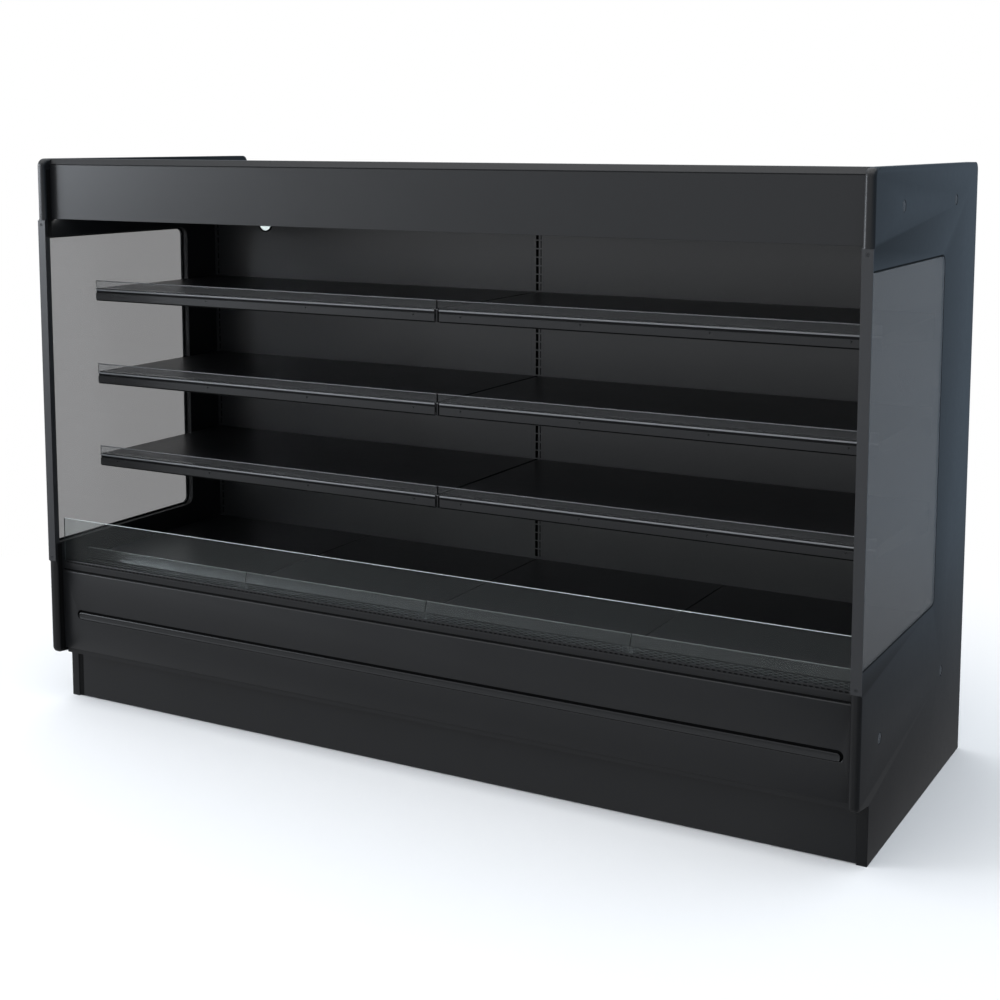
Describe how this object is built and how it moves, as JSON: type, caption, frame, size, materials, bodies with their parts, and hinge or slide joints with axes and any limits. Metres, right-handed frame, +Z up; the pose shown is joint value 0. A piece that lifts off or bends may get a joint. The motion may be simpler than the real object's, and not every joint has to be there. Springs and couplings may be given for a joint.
{
  "type": "multideck display fridge",
  "caption": "Open-fronted multideck display case: glass end windows, canopy, tiltable shelves with price rails, deck pans, low front glass and fans under the deck.",
  "frame": {"origin": "on the floor, under the middle of the case", "axes": "+X along the case towards the right-hand end seen from its front, +Y from its front to its back, +Z up"},
  "size_m": [2.492, 0.953, 1.638],
  "materials": {
    "case_black": "satin",
    "end_black": "satin",
    "trim_black": "satin",
    "cover_black": "satin",
    "insulated_panel": "matte",
    "galvanised": "satin",
    "fins": "satin",
    "copper": "satin",
    "pipe_plastic": "matte",
    "black_plastic": "matte",
    "gasket": "matte",
    "tinted_glass": "gloss",
    "clear_glass": "gloss",
    "clear_plastic": "gloss",
    "lens": "satin",
    "screw_steel": "polished",
    "dial_white": "gloss",
    "needle_red": "satin"
  },
  "bodies": {
    "case": {"end_panel_left": "end_black", "end_panel_right": "end_black", "end_glass_left": "tinted_glass", "end_glass_right": "tinted_glass", "window_gaskets": "gasket", "end_trims": "trim_black", "trim_screws": "screw_steel", "bolt_covers": "cover_black", "insulated_tub": "insulated_panel", "rear_wall": "insulated_panel", "roof_panel": "insulated_panel", "capping_strip": "trim_black", "canopy_fascia": "case_black", "lamp_housing": "galvanised", "lamp_lens": "lens", "air_honeycomb": "black_plastic", "canopy_liner": "case_black", "inner_back_panels": "case_black", "shelf_standards": "case_black", "deck_supports": "galvanised", "low_glass_rail": "trim_black", "base_frame": "case_black", "evaporator_coil": "fins", "fan_plenum": "galvanised", "fan_motors": "black_plastic", "refrigerant_lines": "copper", "drain_outlet": "pipe_plastic", "thermometer_case": "dial_white"},
    "front_panel": {"front_panel": "case_black"},
    "kick_plate": {"kick_plate": "case_black"},
    "low_glass": {"low_glass": "clear_glass"},
    "fan_left": {"fan_blades_left": "black_plastic"},
    "fan_right": {"fan_blades_right": "black_plastic"},
    "thermometer_needle": {"thermometer_needle": "needle_red"},
    "shelf_low_left": {"shelf_low_left": "case_black", "price_rail_low_left": "black_plastic", "fence_low_left": "clear_plastic"},
    "shelf_low_right": {"shelf_low_right": "case_black", "price_rail_low_right": "black_plastic", "fence_low_right": "clear_plastic"},
    "shelf_middle_left": {"shelf_middle_left": "case_black", "price_rail_middle_left": "black_plastic", "fence_middle_left": "clear_plastic"},
    "shelf_middle_right": {"shelf_middle_right": "case_black", "price_rail_middle_right": "black_plastic", "fence_middle_right": "clear_plastic"},
    "shelf_high_left": {"shelf_high_left": "case_black", "price_rail_high_left": "black_plastic", "fence_high_left": "clear_plastic"},
    "shelf_high_right": {"shelf_high_right": "case_black", "price_rail_high_right": "black_plastic", "fence_high_right": "clear_plastic"},
    "deck_pan_1": {"deck_pan_1": "case_black"},
    "return_grille_1": {"return_grille_1": "case_black"},
    "deck_pan_2": {"deck_pan_2": "case_black"},
    "return_grille_2": {"return_grille_2": "case_black"},
    "deck_pan_3": {"deck_pan_3": "case_black"},
    "return_grille_3": {"return_grille_3": "case_black"},
    "deck_pan_4": {"deck_pan_4": "case_black"},
    "return_grille_4": {"return_grille_4": "case_black"}
  },
  "joints": [
    {"name": "front_panel_pull", "type": "slide", "parent": "case", "child": "front_panel", "axis": [0, -1, 0], "range_m": [0, 0.1]},
    {"name": "kick_plate_pull", "type": "slide", "parent": "case", "child": "kick_plate", "axis": [0, -1, 0], "range_m": [0, 0.1]},
    {"name": "low_glass_lift", "type": "slide", "parent": "case", "child": "low_glass", "axis": [0, 0, 1], "range_m": [0, 0.16]},
    {"name": "fan_left_spin", "type": "hinge", "parent": "case", "child": "fan_left", "pos_m": [-0.6095, -0.1465, 0.292], "axis": [0, 1, 0], "continuous": true},
    {"name": "fan_right_spin", "type": "hinge", "parent": "case", "child": "fan_right", "pos_m": [0.6095, -0.1465, 0.292], "axis": [0, 1, 0], "continuous": true},
    {"name": "thermometer_needle_turn", "type": "hinge", "parent": "case", "child": "thermometer_needle", "pos_m": [-0.476, -0.4015, 1.466], "axis": [0, 1, 0], "range_deg": [-60, 60]},
    {"name": "shelf_low_left_tilt", "type": "hinge", "parent": "case", "child": "shelf_low_left", "pos_m": [0, 0.2965, 0.7161], "axis": [-1, 0, 0], "range_deg": [0, 12]},
    {"name": "shelf_low_right_tilt", "type": "hinge", "parent": "case", "child": "shelf_low_right", "pos_m": [0, 0.2965, 0.7161], "axis": [-1, 0, 0], "range_deg": [0, 12]},
    {"name": "shelf_middle_left_tilt", "type": "hinge", "parent": "case", "child": "shelf_middle_left", "pos_m": [0, 0.2965, 0.9701], "axis": [-1, 0, 0], "range_deg": [0, 12]},
    {"name": "shelf_middle_right_tilt", "type": "hinge", "parent": "case", "child": "shelf_middle_right", "pos_m": [0, 0.2965, 0.9701], "axis": [-1, 0, 0], "range_deg": [0, 12]},
    {"name": "shelf_high_left_tilt", "type": "hinge", "parent": "case", "child": "shelf_high_left", "pos_m": [0, 0.2965, 1.2241], "axis": [-1, 0, 0], "range_deg": [0, 12]},
    {"name": "shelf_high_right_tilt", "type": "hinge", "parent": "case", "child": "shelf_high_right", "pos_m": [0, 0.2965, 1.2241], "axis": [-1, 0, 0], "range_deg": [0, 12]},
    {"name": "deck_pan_1_lift", "type": "slide", "parent": "case", "child": "deck_pan_1", "axis": [0, 0, 1], "range_m": [0, 0.15]},
    {"name": "return_grille_1_lift", "type": "slide", "parent": "case", "child": "return_grille_1", "axis": [0, 0, 1], "range_m": [0, 0.1]},
    {"name": "deck_pan_2_lift", "type": "slide", "parent": "case", "child": "deck_pan_2", "axis": [0, 0, 1], "range_m": [0, 0.15]},
    {"name": "return_grille_2_lift", "type": "slide", "parent": "case", "child": "return_grille_2", "axis": [0, 0, 1], "range_m": [0, 0.1]},
    {"name": "deck_pan_3_lift", "type": "slide", "parent": "case", "child": "deck_pan_3", "axis": [0, 0, 1], "range_m": [0, 0.15]},
    {"name": "return_grille_3_lift", "type": "slide", "parent": "case", "child": "return_grille_3", "axis": [0, 0, 1], "range_m": [0, 0.1]},
    {"name": "deck_pan_4_lift", "type": "slide", "parent": "case", "child": "deck_pan_4", "axis": [0, 0, 1], "range_m": [0, 0.15]},
    {"name": "return_grille_4_lift", "type": "slide", "parent": "case", "child": "return_grille_4", "axis": [0, 0, 1], "range_m": [0, 0.1]}
  ]
}
